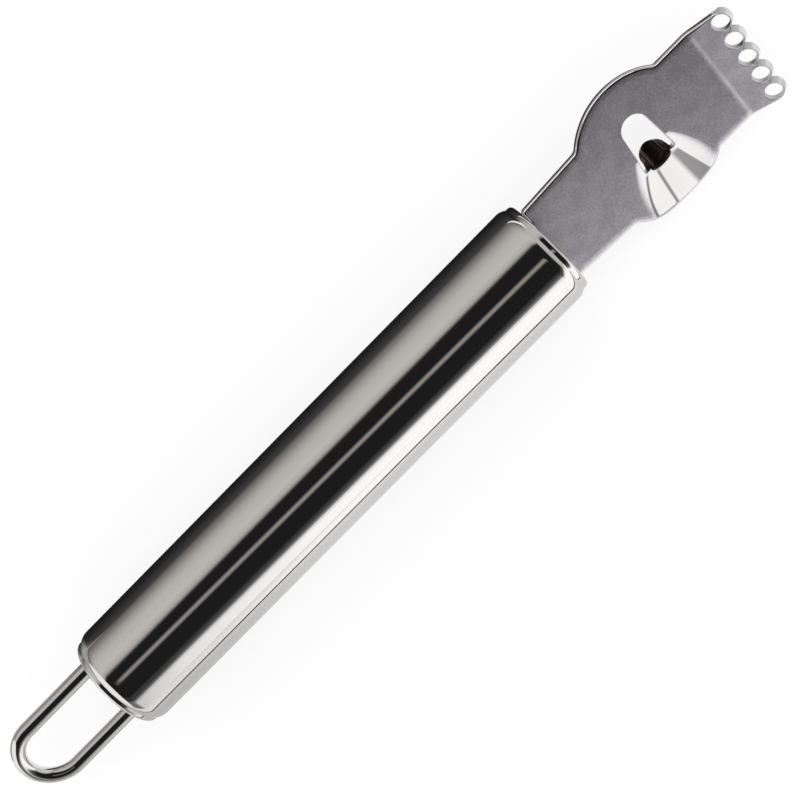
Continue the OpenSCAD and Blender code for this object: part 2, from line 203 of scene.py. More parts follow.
class Metal:
    """A metal's nodes, with short ways to add and link them."""

    def __init__(self, name):
        self.material = bpy.data.materials.new(name)
        self.material.use_nodes = True
        self.nodes, self.links = self.material.node_tree.nodes, self.material.node_tree.links
        self.where = self.nodes.new("ShaderNodeTexCoord").outputs["Object"]

    def feed(self, socket, value):
        """Links another socket to a socket, or sets it to a number or a colour."""
        if isinstance(value, bpy.types.NodeSocket):
            self.links.new(value, socket)
        else:
            socket.default_value = (*value, 1.0) if isinstance(value, tuple) else value

    def noise(self, stretch, detail, turn=0.0):
        mapping = self.nodes.new("ShaderNodeMapping")
        mapping.inputs["Scale"].default_value = [k * CELLS_A_MM for k in stretch]
        mapping.inputs["Rotation"].default_value = (turn, 0, 0)
        noise = self.nodes.new("ShaderNodeTexNoise")
        noise.inputs["Scale"].default_value = 1.0
        noise.inputs["Detail"].default_value = detail
        self.links.new(self.where, mapping.inputs["Vector"])
        self.links.new(mapping.outputs["Vector"], noise.inputs["Vector"])
        return noise.outputs["Fac"]

    def attribute(self, name, output):
        node = self.nodes.new("ShaderNodeAttribute")
        node.attribute_name = name
        return node.outputs[output]

    def ranged(self, source, low, high, from_low=0.3, from_high=0.7):
        span = self.nodes.new("ShaderNodeMapRange")
        span.inputs["From Min"].default_value = from_low
        span.inputs["From Max"].default_value = from_high
        span.inputs["To Min"].default_value = low
        span.inputs["To Max"].default_value = high
        self.links.new(source, span.inputs["Value"])
        return span.outputs["Result"]

    def mixed(self, factor, first, second, kind="RGBA"):
        mix = self.nodes.new("ShaderNodeMix")
        mix.data_type = kind
        for name, value in (("Factor", factor), ("A", first), ("B", second)):
            self.feed(mix.inputs[name], value)
        return mix.outputs["Result"]

    def joined(self, kind, first, second=0.0):
        node = self.nodes.new("ShaderNodeMath")
        node.operation = kind
        for socket, value in zip(node.inputs, (first, second)):
            self.feed(socket, value)
        return node.outputs[0]

    def times(self, product, *factors):
        for factor in factors:
            product = self.joined("MULTIPLY", product, factor)
        return product

    def beyond(self, x, y, curve):
        """How far x lies beyond the curve a + b y + c y y."""
        a, b, c = curve
        slope = self.joined("ADD", self.times(y, c), b)
        return self.joined("SUBTRACT", x, self.joined("ADD", self.times(slope, y), a))

    def finished(self, colour, roughness, height, strength):
        bump = self.nodes.new("ShaderNodeBump")
        bump.inputs["Strength"].default_value = strength
        bump.inputs["Distance"].default_value = BUMP_DEPTH
        shader = self.nodes["Principled BSDF"]
        shader.inputs["Metallic"].default_value = 1.0
        self.links.new(height, bump.inputs["Height"])
        self.links.new(colour, shader.inputs["Base Color"])
        self.links.new(roughness, shader.inputs["Roughness"])
        self.links.new(bump.outputs["Normal"], shader.inputs["Normal"])
        return self.material


def polished_steel(name, light, dark, low, high):
    """Polished steel: faint polishing lines along the part and a slightly uneven gloss."""
    metal = Metal(name)
    lines = metal.noise((0.12, 4.0, 4.0), 3.0, ROLL)
    cloud = metal.noise((0.25, 0.5, 0.5), 2.0)
    return metal.finished(metal.mixed(cloud, dark, light), metal.ranged(lines, low, high), lines, 0.02)


# Two narrow dark reflection streaks, painted down the trough
def narrow_painted_streaks(metal, x, y):
    marks = 0.0
    for curve, half, soft, top, share in NARROW_PAINTED_STREAKS:
        off = metal.joined("ABSOLUTE", metal.beyond(x, y, curve))
        band = metal.ranged(off, 1.0, 0.0, half, half + soft)
        below = metal.ranged(y, 1.0, 0.0, top - NARROW_FADE, top)
        marks = metal.joined("MAXIMUM", marks, metal.times(band, below, share))
    return marks


def rim_painted_streaks(metal, x, y):
    """A painted dark reflection line close to the lobe's rim, on both sides of the trough."""
    out_x = metal.joined("SUBTRACT", x, LOBE_X)
    radius = metal.joined("SQRT", metal.joined("ADD", metal.times(out_x, out_x), metal.times(y, y)))
    off_rim = metal.joined("ABSOLUTE", metal.joined("SUBTRACT", radius, RIM_MARK_R))
    line_share = metal.ranged(off_rim, RIM_MARK_SHARE, 0.0, RIM_MARK_HALF, RIM_MARK_EDGE)
    rim = metal.times(line_share, metal.ranged(y, 1.0, 0.0, RIM_MARK_LOW, RIM_MARK_TOP))
    marks = 0.0
    for start, end in RIM_MARK_ENDS:
        after = metal.ranged(x, 0.0, 1.0, start, start + RIM_MARK_FADE)
        before = metal.ranged(x, 1.0, 0.0, end - RIM_MARK_FADE, end)
        marks = metal.joined("MAXIMUM", marks, metal.times(rim, after, before))
    return marks


# A broad dull streak of painted reflection down the trough
def broad_painted_streak(metal, x, y):
    left = metal.ranged(metal.beyond(x, y, BROAD_LEFT), 0.0, 1.0, -0.45, 0.30)
    right = metal.ranged(metal.beyond(x, y, BROAD_RIGHT), 1.0, 0.0, -0.12, 0.12)
    below = metal.ranged(y, 1.0, 0.0, BROAD_TOP - BROAD_FADE, BROAD_TOP)
    return metal.times(left, right, below, BROAD_SHARE)


def satin_steel(name):
    """Tumbled sheet steel: a fine grain all over, burnished where the tool pressed it.

    Dark streaks of reflection are painted down the trough: two narrow ones, two along the rim and a broad
    dull one.
    """
    metal = Metal(name)
    grain = metal.noise((3.2, 3.2, 3.2), 2.0)
    cloud = metal.noise((0.35, 0.35, 0.35), 3.0)
    tone = metal.joined("ADD", metal.times(grain, GRAIN_SHARE), metal.times(cloud, CLOUD_SHARE))
    steel = metal.mixed(metal.ranged(tone, 0.0, 1.0, 0.40, 0.60), FLAT_DARK, FLAT_LIGHT)
    parts = metal.nodes.new("ShaderNodeSeparateXYZ")
    metal.links.new(metal.attribute("plan", "Vector"), parts.inputs[0])
    x, y, on_sheet = parts.outputs
    marks = metal.joined("MAXIMUM", narrow_painted_streaks(metal, x, y), rim_painted_streaks(metal, x, y))
    marks = metal.joined("MAXIMUM", marks, broad_painted_streak(metal, x, y))
    burnish = metal.attribute("burnish", "Fac")
    bright = metal.mixed(burnish, steel, TROUGH_LIGHT)
    # Paints the dark reflection streaks into the steel's colour
    colour = metal.mixed(metal.times(marks, on_sheet), bright, PAINTED_STREAK_DARK)
    plain, burnished = metal.ranged(grain, 0.28, 0.34), metal.ranged(grain, 0.10, 0.14)
    roughness = metal.mixed(burnish, plain, burnished, "FLOAT")
    return metal.finished(colour, roughness, grain, 0.10)


polished = polished_steel("polished_steel", (0.80, 0.79, 0.78), (0.77, 0.76, 0.75), 0.035, 0.06)
edge_steel = polished_steel("edge_steel", (0.80, 0.79, 0.79), (0.74, 0.73, 0.74), 0.08, 0.14)
satin = satin_steel("satin_steel")
cut_steel = polished_steel("cut_steel", (0.62, 0.61, 0.62), (0.56, 0.55, 0.56), 0.40, 0.50)
ground_steel = polished_steel("ground_steel", (0.82, 0.81, 0.81), (0.74, 0.73, 0.74), 0.30, 0.40)
# Painted shade: near-black steel for the cutting lip, standing in for the shade and dark reflection in its
# hollow
lip_painted_shade = polished_steel("lip_painted_shade_steel", (0.15, 0.115, 0.11), (0.10, 0.078, 0.075), 0.20, 0.30)


# Turned pieces

def arc(cx, cr, r, start, end, steps):
    """Points (x, radius) of an arc about (cx, cr); angles in degrees, 0 along +x, 90 outwards."""
    return [(cx + r * math.cos(math.radians(start + (end - start) * k / steps)),
             cr + r * math.sin(math.radians(start + (end - start) * k / steps))) for k in range(steps + 1)]


def lathe(name, runs, material, node, segments=288):
    """Turns a closed profile, given as smooth runs with the outside on their left, about X."""
    shell = Shell()
    angles = np.arange(segments) * 2 * math.pi / segments
    first = last = None
    for number, run in enumerate(runs):
        p = np.array(run, float)
        t = np.gradient(p, axis=0)
        n = np.stack([-t[:, 1], t[:, 0]], axis=1)
        n /= np.linalg.norm(n, axis=1)[:, None]
        previous = last
        for k, (x, r) in enumerate(p):
            if k == 0 and previous is not None:
                ring = previous
            elif number == len(runs) - 1 and k == len(p) - 1 and np.allclose(p[-1], runs[0][0]):
                ring = first
            elif r < 1e-9:
                ring = shell.add([(x, 0, 0)]) * segments
            else:
                ring = shell.add([(x, r * math.cos(a), r * math.sin(a)) for a in angles])
            if first is None:
                first = ring
            turned = [(n[k, 0], n[k, 1] * math.cos(a), n[k, 1] * math.sin(a)) for a in angles]
            shell.normal(ring, turned, number)
            if r < 1e-9:
                shell.normal(ring[:1], [(math.copysign(1, n[k, 0]), 0, 0)], number)
            if last is not None and k > 0:
                shell.band(last, ring, number)
            last = ring
    shell.build(name, material, node=node)


def line(a, b, steps):
    return [(a[0] + (b[0] - a[0]) * k / steps, a[1] + (b[1] - a[1]) * k / steps) for k in range(steps + 1)]


NECK_ARC_R = (NECK_RUN ** 2 + NECK_IN ** 2) / (2 * NECK_IN)
NECK_TURN = math.degrees(math.asin(NECK_RUN / NECK_ARC_R))
TUBE_R = HANDLE_R - TUBE_TRIM
MOUTH_R = TUBE_R - NECK_IN
THROAT_ARC_R = NECK_ARC_R - TUBE_WALL
THROAT_TURN = math.degrees(math.asin(NECK_RUN / THROAT_ARC_R))
ARC_CENTRE_R = TUBE_R - NECK_ARC_R
SKIRT_R = ARC_CENTRE_R + math.sqrt(THROAT_ARC_R ** 2 - NECK_RUN ** 2) - FIT
TUBE_BACK, TUBE_FRONT = -HANDLE_LEN + CAP_T, -CAP_T


def tube():
    """The handle's wall, whose ends are drawn in onto the caps."""
    back, front = TUBE_BACK + NECK_RUN, TUBE_FRONT - NECK_RUN
    outside = (arc(back, ARC_CENTRE_R, NECK_ARC_R, 90 + NECK_TURN, 90, 14)
               + line((back, TUBE_R), (front, TUBE_R), 40)[1:-1]
               + arc(front, ARC_CENTRE_R, NECK_ARC_R, 90, 90 - NECK_TURN, 14))
    inside_wall = (arc(front, ARC_CENTRE_R, THROAT_ARC_R, 90 - THROAT_TURN, 90, 10)
                   + arc(back, ARC_CENTRE_R, THROAT_ARC_R, 90, 90 + THROAT_TURN, 10))
    runs = [outside, line(outside[-1], inside_wall[0], 2), inside_wall, line(inside_wall[-1], outside[0], 2)]
    lathe("handle_shell", runs, polished, "handle_tube")


def cap(name, face_x, out, node):
    """A pressed cap; out is +1 where its face looks along +X."""
    back = face_x - out * CAP_T
    inner = MOUTH_R - CAP_EDGE_R
    bottom = face_x - out * (CAP_T + SKIRT_LEN)
    skirt_bore = SKIRT_R - SKIRT_WALL
    edge = arc(face_x - out * CAP_EDGE_R, inner, CAP_EDGE_R, 90, 0 if out > 0 else 180, 10)
    runs = [
        line((back, 0), (back, skirt_bore), 3),
        line((back, skirt_bore), (bottom, skirt_bore), 2),
        line((bottom, skirt_bore), (bottom, SKIRT_R), 1),
        line((bottom, SKIRT_R), (back, SKIRT_R), 2),
        line((back, SKIRT_R), (back, MOUTH_R), 2),
        line((back, MOUTH_R), edge[0], 2)[:-1] + edge + line(edge[-1], (face_x, 0), 6)[1:],
    ]
    if out < 0:
        runs = [run[::-1] for run in runs[::-1]]
    lathe(name, runs, polished, node)


tube()
cap("front_cap_shell", 0.0, 1, "front_cap")
cap("rear_cap_shell", -HANDLE_LEN, -1, "rear_cap")


# Hanging loop: a wire along two legs and a half circle

def wire_loop():
    loop_r = HANDLE_R - LEG_INSET
    loop_x = -HANDLE_LEN - LOOP_OUT + WIRE_R + loop_r + LOOP_TRIM
    leg_end = -HANDLE_LEN + LEG_IN
    path = [((x, loop_r), (-1, 0)) for x in np.linspace(leg_end, loop_x, 40)[:-1]]
    path += [((loop_x - loop_r * math.sin(a), loop_r * math.cos(a)), (-math.cos(a), -math.sin(a)))
             for a in np.linspace(0, math.pi, 97)]
    path += [((x, -loop_r), (1, 0)) for x in np.linspace(loop_x, leg_end, 40)[1:]]
    shell = Shell()
    angles = np.arange(64) * 2 * math.pi / 64
    rings = []
    for (x, y), (tx, ty) in path:
        n = [(-ty * math.cos(a), tx * math.cos(a), math.sin(a)) for a in angles]
        ring = shell.add([(x + WIRE_R * v[0], y + WIRE_R * v[1], WIRE_R * v[2]) for v in n])
        shell.normal(ring, n, 0)
        rings.append(ring)
    for a, b in zip(rings, rings[1:]):
        shell.band(a, b, 0)
    shell.face(rings[0][::-1], 1)
    shell.face(rings[-1], 2)
    shell.build("wire_loop", polished, node="hanging_loop")


wire_loop()


# Blade: plan of the sheet, then its thickness, trough and bend

def trough_share(y):
    return np.clip((-TROUGH_TOP_Y - y) / (TROUGH_FULL_Y - TROUGH_TOP_Y), 0, 1)


def trough_half(y):
    return TROUGH_HALF_TOP + (TROUGH_HALF_RIM - TROUGH_HALF_TOP) * (1 - (1 - trough_share(y)) ** 2)


def sheet_z(x, y):
    """Height of the sheet's middle; x from the lobes' centre line, y from the axis."""
    q = np.abs(x / trough_half(y))
    dish = np.where(q < 1, np.maximum(1 - q * q, 0) ** TROUGH_ROUND, 0)
    z = -TROUGH_DEPTH * (TROUGH_APEX_Y - y) / (TROUGH_APEX_Y + LOBE_R) * dish
    return np.where(y < -TROUGH_TOP_Y, z, 0.0)


def pressed(x, y):
    """Height of the sheet at a point of the plan: the trough, which keeps its height past the rim."""
    dx = x - LOBE_X
    r = np.maximum(np.hypot(dx, y), 1e-9)
    k = np.minimum(1, RIM_ARM / r)
    return np.where(y < 0, sheet_z(dx * k, y * k), 0.0)


def folded(points):
    """Presses the trough and bends the tip up; points are (x, y, height over the sheet's middle)."""
    p = np.array(points, float)
    x, y, h = p[:, 0], p[:, 1], p[:, 2]
    z = h + pressed(x, y)
    a = np.clip((x - BEND_X) / BEND_R, 0, BEND_ANGLE)
    past = np.maximum(x - BEND_X - BEND_LEN, 0)
    out_x = np.where(x > BEND_X, BEND_X + (BEND_R - z) * np.sin(a) + past * math.cos(BEND_ANGLE), x)
    out_z = np.where(x > BEND_X, BEND_R - (BEND_R - z) * np.cos(a) + past * math.sin(BEND_ANGLE), z)
    return np.stack([out_x, y, out_z], axis=1)


def folded_normals(points, outward, rise):
    """Normals of the folded sheet: outward is the plan direction, rise its share along the height."""
    p = np.array(points, float)
    e = 1e-3
    base = folded(p)
    dx = folded(p + (e, 0, 0)) - base
    dy = folded(p + (0, e, 0)) - base
    up = np.cross(dx, dy)
    up /= np.linalg.norm(up, axis=1)[:, None]
    side = dx * outward[:, :1] + dy * outward[:, 1:]
    side -= up * np.sum(side * up, axis=1)[:, None]
    length = np.linalg.norm(side, axis=1)[:, None]
    side = np.divide(side, length, out=np.zeros_like(side), where=length > 1e-12)
    return side * np.sqrt(1 - rise[:, None] ** 2) + up * rise[:, None]


def arc_points(cx, cy, r, start, end, step=0.2):
    n = max(3, int(abs(end - start) * r / step))
    angles = [start + (end - start) * k / n for k in range(n + 1)]
    return [(cx + r * math.cos(a), cy + r * math.sin(a)) for a in angles]


def fillet_centre(r, half_w, lean, direction):
    """Centre of a fillet between the lobes and an edge, and the angle that it turns through."""
    reach = ROUND_LOBE_R + r
    turn = math.acos((half_w * math.cos(lean) + r) / reach)
    return (LOBE_X + direction * reach * math.sin(turn + lean), reach * math.cos(turn + lean)), turn


TIP_S = BEND_X + BEND_LEN                     # the tip's flat stretch starts here, along the sheet
ROW_S = TIP_S + HOLE_ROW - ROW_TRIM
TIP_END_W = (HOLES - 1) * HOLE_PITCH + 2 * (TOOTH_HEEL_R - SIDE_TRIM)
HOLE_YS = [(k - (HOLES - 1) / 2) * HOLE_PITCH for k in range(HOLES)]
CORNER_STEP = 0.08                            # length of the steps round small corners
SIDE_TURN, SIDE_BLEND = math.radians(68), math.radians(22)   # where the last teeth lose their bevel


def outline():
    """The plan's upper half from the last tooth's side back to the tang's end."""
    pts = []

    def push(points):
        for p in points:
            if not pts or math.dist(pts[-1], p) > 1e-4:
                pts.append(p)

    half_tip, half_tang = TIP_W / 2, TANG_W / 2
    push(line((ROW_S, TIP_END_W / 2), (TIP_S, half_tip), 20)[1:])
    push(line((TIP_S, half_tip), (BEND_X, half_tip), 12))
    (fx, fy), turn = fillet_centre(TIP_FILLET_R, half_tip, 0, 1)
    push(line((BEND_X, half_tip), (fx, half_tip), 16))
    push(arc_points(fx, fy, TIP_FILLET_R, -math.pi / 2, -math.pi / 2 - turn, CORNER_STEP))
    lean = math.atan((NECK_TOP_W - NECK_BASE_W) / 2 / (LOBE_X - LOBE_R))
    half_w = NECK_BASE_W / 2 + LOBE_X * math.tan(lean)
    (gx, gy), turn_g = fillet_centre(NECK_FILLET_R, half_w, lean, -1)
    to_tip = math.atan2(fy, fx - LOBE_X)
    to_neck = math.atan2(gy, gx - LOBE_X)
    push(arc_points(LOBE_X, 0, ROUND_LOBE_R, to_tip, to_neck))
    foot = -math.pi / 2 + lean
    push(arc_points(gx, gy, NECK_FILLET_R, foot + turn_g, foot, CORNER_STEP))
    corner_lean = math.pi / 2 + lean
    sx = SHOULDER_R
    sy = NECK_BASE_W / 2 + sx * math.tan(lean) - SHOULDER_R / math.cos(lean)
    edge_start = (sx + SHOULDER_R * math.cos(corner_lean), sy + SHOULDER_R * math.sin(corner_lean))
    push(line(pts[-1], edge_start, 24)[1:])
    push(arc_points(sx, sy, SHOULDER_R, corner_lean, math.pi, CORNER_STEP))
    corner_y = half_tang + TANG_CORNER_R
    push(line((0, sy), (0, corner_y), 4))
    push(arc_points(-TANG_CORNER_R, corner_y, TANG_CORNER_R, 0, -math.pi / 2, CORNER_STEP))
    end_x, end_y = TANG_END_R - TANG_LEN, half_tang - TANG_END_R
    push(line((-TANG_CORNER_R, half_tang), (end_x, half_tang), 20))
    push(arc_points(end_x, end_y, TANG_END_R, math.pi / 2, math.pi, 0.15))
    push(line((-TANG_LEN, end_y), (-TANG_LEN, 0), 4))
    return pts


def comb_level(h):
    """The comb's scalloped end at a height of the sheet: plan points, outward normals, bevel shares."""
    rise = (h + HALF_T) / (2 * HALF_T)
    bevel_in = (HEEL_LAND - EDGE_LAND) * rise
    round_in = TOOTH_ROUND * (1 - math.sqrt(max(0.0, 1 - (h / HALF_T) ** 2)))
    r = TOOTH_HEEL_R - bevel_in
    front = r - HOLE_R
    open_angle = math.acos(front / r)
    if r * math.sin(open_angle) > HOLE_PITCH / 2:
        open_angle = math.asin(HOLE_PITCH / 2 / r)
    points, normals, shares = [], [], []
    steps = 40
    for number, y in enumerate(HOLE_YS):
        start = -math.pi / 2 if number == 0 else -open_angle
        end = math.pi / 2 if number == HOLES - 1 else open_angle
        for k in range(steps + 1):
            a = start + (end - start) * k / steps
            outer = abs(a) if (number == 0 and a < 0) or (number == HOLES - 1 and a > 0) else 0.0
            share = 1 - min(1, max(0, (outer - SIDE_TURN) / SIDE_BLEND))
            share = share * share * (3 - 2 * share)
            rr = TOOTH_HEEL_R - bevel_in * share - (round_in + SIDE_TRIM) * (1 - share)
            points.append((ROW_S + rr * math.cos(a), y + rr * math.sin(a)))
            normals.append((math.cos(a), math.sin(a)))
            shares.append(share)
        if number < HOLES - 1:
            points.append((ROW_S + r * math.cos(open_angle), y + HOLE_PITCH / 2))
            normals.append((1.0, 0.0))
            shares.append(1.0)
    return np.array(points), np.array(normals), np.array(shares)


def plan_normals(loop):
    """Outward normals of a closed anticlockwise loop."""
    ahead, behind = np.roll(loop, -1, axis=0), np.roll(loop, 1, axis=0)
    a, b = ahead - loop, loop - behind
    a /= np.maximum(np.linalg.norm(a, axis=1)[:, None], 1e-9)
    b /= np.maximum(np.linalg.norm(b, axis=1)[:, None], 1e-9)
    t = a + b
    t /= np.maximum(np.linalg.norm(t, axis=1)[:, None], 1e-9)
    return np.stack([t[:, 1], -t[:, 0]], axis=1)


def inside(loop, points):
    """Which points lie inside a closed loop."""
    x, y = points[:, 0], points[:, 1]
    hit = np.zeros(len(points), bool)
    for (x0, y0), (x1, y1) in zip(loop, np.roll(loop, -1, axis=0)):
        if y0 != y1:
            crosses = ((y0 > y) != (y1 > y)) & (x < (x1 - x0) * (y - y0) / (y1 - y0) + x0)
            hit ^= crosses
    return hit


def nearest(loop, points):
    """Distance of each point from a closed loop and the way to the loop's nearest point."""
    best = np.full(len(points), 1e9)
    way = np.zeros((len(points), 2))
    for a, b in zip(loop, np.roll(loop, -1, axis=0)):
        ab = b - a
        t = np.clip(((points - a) @ ab) / max(ab @ ab, 1e-12), 0, 1)
        to = a + t[:, None] * ab - points
        d = np.linalg.norm(to, axis=1)
        closer = d < best
        best[closer], way[closer] = d[closer], to[closer]
    return best, way / np.maximum(best, 1e-9)[:, None]


def clearance(loop, points):
    return nearest(loop, points)[0]


def crease_plan(a):
    return CREASE_HALF_W * math.sin(a), -CREASE_Y + CREASE_SAG * (1 - math.cos(a))


def slot_outline():
    """Slot and lip opening as one clockwise hole in the plan."""
    c, s = math.cos(SLOT_LEAN), math.sin(SLOT_LEAN)
    corner_y = SLOT_CORNER_R - SLIT_Y
    corner_x = (SLOT_R - SLOT_CORNER_R + (SLOT_TOP_Y - corner_y) * s) / c
    top = arc_points(0, SLOT_TOP_Y, SLOT_R, SLOT_LEAN, math.pi - SLOT_LEAN, 0.12)
    corner = arc_points(-corner_x, corner_y, SLOT_CORNER_R, math.pi - SLOT_LEAN, 1.5 * math.pi, CORNER_STEP)
    side = line(top[-1], corner[0], 24)[1:-1]
    slit_end = (-CREASE_HALF_W, -SLIT_Y)
    bottom = line((-corner_x, -SLIT_Y), slit_end, 4)[1:]
    bottom += line(slit_end, (-CREASE_HALF_W, CREASE_SAG - CREASE_Y), 3)[1:-1]
    lip = [crease_plan(math.pi * k / 24 - math.pi / 2) for k in range(25)]
    half = side + corner + bottom
    mirrored = [(-x, y) for x, y in half[::-1]]
    out = []
    for p in top + half + lip + mirrored:
        if not out or math.dist(out[-1], p) > 1e-3:
            out.append(p)
    if math.dist(out[0], out[-1]) < 1e-3:
        out.pop()
    return np.array(out) + (LOBE_X, 0)


def hole_outlines():
    turns = np.arange(72) * 2 * math.pi / 72
    return [np.stack([ROW_S + HOLE_R * np.cos(turns), y + HOLE_R * np.sin(turns)], axis=1) for y in HOLE_YS]


def triangulated(outer, holes, spots):
    """Triangles of the plan between the outer loop and the holes, through the given spots."""
    coords, edges = [], []
    for ring in [outer] + holes:
        start = len(coords)
        coords += [Vector(p) for p in ring]
        edges += [(start + k, start + (k + 1) % len(ring)) for k in range(len(ring))]
    coords += [Vector(p) for p in spots]
    verts, _, tris, origin, _, _ = delaunay_2d_cdt(coords, edges, [], 0, 1e-6, True)
    source = [o[0] if o else None for o in origin]
    xy = np.array([tuple(v) for v in verts])
    centre = np.array([xy[list(t)].mean(axis=0) for t in tris])
    keep = inside(outer, centre)
    for ring in holes:
        keep &= ~inside(ring, centre)
    return [[source[i] for i in t] for t, k in zip(tris, keep) if k]


EDGE_STEPS = 14
TOOTH_ROUND = 0.38                            # how far the last teeth's round side reaches in
EDGE_ROUND = 0.48                             # the same for the other edges
COMB_BACK, COMB_BLEND = 3.2, 1.5              # where the edge turns into the comb's, behind the holes' row
ROLL_BACK = 4.5                               # where the drawn-down border starts to end, likewise
DIE_ROLL, ROLL_RUN = 0.035, 0.85              # the punch drew the upper face down along its border
ROLL_TILT = 2 * DIE_ROLL / ROLL_RUN
ROLL_ROWS = ROLL_RUN * np.array((0.15, 0.35, 0.6, 0.85, 1))
BREAK_IN = 0.06                               # break of the edges of the holes and the slot
BEND_SHINE = 0.20                             # how far the press burnished the bend
COARSE_STEP, FINE_STEP, BEND_STEP, BEND_ROWS = 0.8, 0.24, 0.4, 10
SPOT_GAP = 0.08                               # least distance of a face's inner points from its borders


def roll_share(x):
    """Where the border of the upper face is drawn down: all but the tang and the comb."""
    return np.interp(x, (0, 0.5, ROW_S - ROLL_BACK, ROW_S - COMB_BACK), (0, 1, 1, 0))


def edge_rings(shell):
    """Rings of the sheet's rounded edge and the comb's bevel, as (ids, plan) from the lower face up."""
    upper = np.array(outline())
    around = np.concatenate([upper, (upper * (1, -1))[::-1][1:]])
    low_comb, _, _ = comb_level(-HALF_T)
    teeth = len(low_comb)
    out_sides = plan_normals(np.concatenate([low_comb, around]))[teeth:]
    slope = math.atan2(HEEL_LAND - EDGE_LAND, 2 * HALF_T)
    soft = np.interp(around[:, 0], (ROW_S - COMB_BACK, ROW_S - COMB_BLEND), (EDGE_ROUND, TOOTH_ROUND))
    deep = np.concatenate([np.full(teeth, TOOTH_ROUND), soft])
    rings = []
    for a in np.linspace(-math.pi / 2, math.pi / 2, EDGE_STEPS + 1):
        h = HALF_T * math.sin(a)
        comb, comb_out, share = comb_level(h)
        roll = roll_share(around[:, 0]) * max(0.0, math.sin(a))
        plan = np.concatenate([comb, around - out_sides * soft[:, None] * (1 - math.cos(a))])
        out = np.concatenate([comb_out, out_sides])
        bevel = np.concatenate([share, np.zeros(len(around))])
        level = np.concatenate([np.full(len(comb), h), h - DIE_ROLL * roll])
        points = np.column_stack([plan, level])
        ids = shell.add(folded(points), 0.0, plan)
        rings.append((ids, plan))
        rounded = math.sin(a) / np.sqrt(math.sin(a) ** 2 + (HALF_T / deep * math.cos(a)) ** 2)
        rise = rounded * (1 - bevel) + math.sin(slope) * bevel
        rise = np.minimum(rise, np.concatenate([np.ones(len(comb)), np.cos(ROLL_TILT * roll)]))
        normals = folded_normals(points, out, np.clip(rise, -1, 1))
        shell.normal(ids, normals, "edge")
        shell.normal(ids[:teeth], normals[:teeth], "comb")
    for (low, _), (high, _) in zip(rings, rings[1:]):
        shell.band(low[:teeth], high[:teeth], "comb", closed=False)
        shell.band(low[teeth - 1:] + low[:1], high[teeth - 1:] + high[:1], "edge", closed=False)
    return rings


def cut_walls(shell):
    """Walls of the holes and of the slot, with a small break at each face."""
    levels = ((BREAK_IN, HALF_T), (0, HALF_T - BREAK_IN), (0, 0),
              (0, -HALF_T + BREAK_IN), (BREAK_IN, -HALF_T))
    walls = []
    for number, hole in enumerate(hole_outlines() + [slot_outline()]):
        normal = plan_normals(hole)
        rows = []
        for grow, h in levels:
            plan = hole + normal * grow
            points = np.column_stack([plan, np.full(len(plan), h)])
            rows.append((shell.add(folded(points), 0.0, plan), plan))
        for name, (a, _), (b, _) in zip(("break_top", "wall", "wall", "break_low"), rows, rows[1:]):
            shell.band(a, b, f"{name}{number}")
            shell.group_shine[f"{name}{number}"] = 0.0
        walls.append(rows)
    return walls


def grid(xs, ys):
    return np.array([(x, y) for x in xs for y in ys])


def face_spots(plan, border_out, cuts):
    """A face's inner points: finer in the trough, in rows along the bend and along the border."""
    coarse = grid(np.arange(-23, 46, COARSE_STEP), np.arange(-12, 12.1, COARSE_STEP))
    x, y = coarse[:, 0], coarse[:, 1]
    in_bend = (x > BEND_X - 0.5) & (x < TIP_S + 0.5)
    in_trough = (np.abs(x - LOBE_X) < 7.6) & (y > -11.8) & (y < 0.7)
    bend = grid(BEND_X + BEND_LEN * np.arange(BEND_ROWS + 1) / BEND_ROWS, np.arange(-8.2, 8.21, BEND_STEP))
    trough = grid(np.arange(LOBE_X - 7.4, LOBE_X + 7.41, FINE_STEP), np.arange(-11.6, 0.6, FINE_STEP))
    spots = np.concatenate([coarse[~in_bend & ~in_trough], bend, trough])
    near = np.concatenate([plan[::2] - border_out[::2] * d for d in ROLL_ROWS])
    depth = np.repeat(ROLL_ROWS, len(plan[::2]))
    near = near[clearance(plan, near) > depth * 0.95]
    spots = np.concatenate([spots[clearance(plan, spots) > ROLL_RUN + 0.05], near])
    free = inside(plan, spots) & (clearance(plan, spots) > SPOT_GAP)
    for cut in cuts:
        free &= ~inside(cut, spots) & (clearance(cut, spots) > SPOT_GAP)
    return spots[free]


def face_shine(spots):
    """How far the press burnished each point: the trough, and a little along the bend."""
    q = np.abs((spots[:, 0] - LOBE_X) / trough_half(spots[:, 1]))
    trough = np.clip((1.0 - q) / 0.25, 0, 1) * np.clip((-TROUGH_TOP_Y - spots[:, 1]) / 0.8, 0, 1)
    off_bend = np.abs(spots[:, 0] - BEND_X - BEND_LEN / 2)
    return np.maximum(trough, BEND_SHINE * np.clip((BEND_LEN / 2 - 0.1 - off_bend) / 0.5, 0, 1))


def sheet_face(shell, side, rim, cuts):
    """Closes the sheet on one side between its rim and its cuts, all given as (ids, plan)."""
    ids, plan = rim
    border_out = plan_normals(plan)
    cut_plans = [cut for _, cut in cuts]
    spots = face_spots(plan, border_out, cut_plans)
    all_plan = np.concatenate([plan] + cut_plans + [spots])
    gap, way = nearest(plan, all_plan)
    way[:len(plan)] = border_out
    fade = np.maximum(0, 1 - gap / ROLL_RUN) * (roll_share(all_plan[:, 0]) if side > 0 else 0)
    flat = np.column_stack([all_plan, side * HALF_T - DIE_ROLL * fade ** 2])
    spot_ids = shell.add(folded(flat[-len(spots):]), face_shine(spots), spots)
    all_ids = list(ids) + [i for row, _ in cuts for i in row] + spot_ids
    name = "top" if side > 0 else "low"
    shell.normal(all_ids, folded_normals(flat, way, side * np.cos(ROLL_TILT * fade)), name)
    for t in triangulated(plan, cut_plans, spots):
        a, b, c = (all_plan[i] for i in t)
        turn = (b[0] - a[0]) * (c[1] - a[1]) - (b[1] - a[1]) * (c[0] - a[0])
        corners = [all_ids[i] for i in t]
        shell.face(corners if turn * side > 0 else corners[::-1], name)


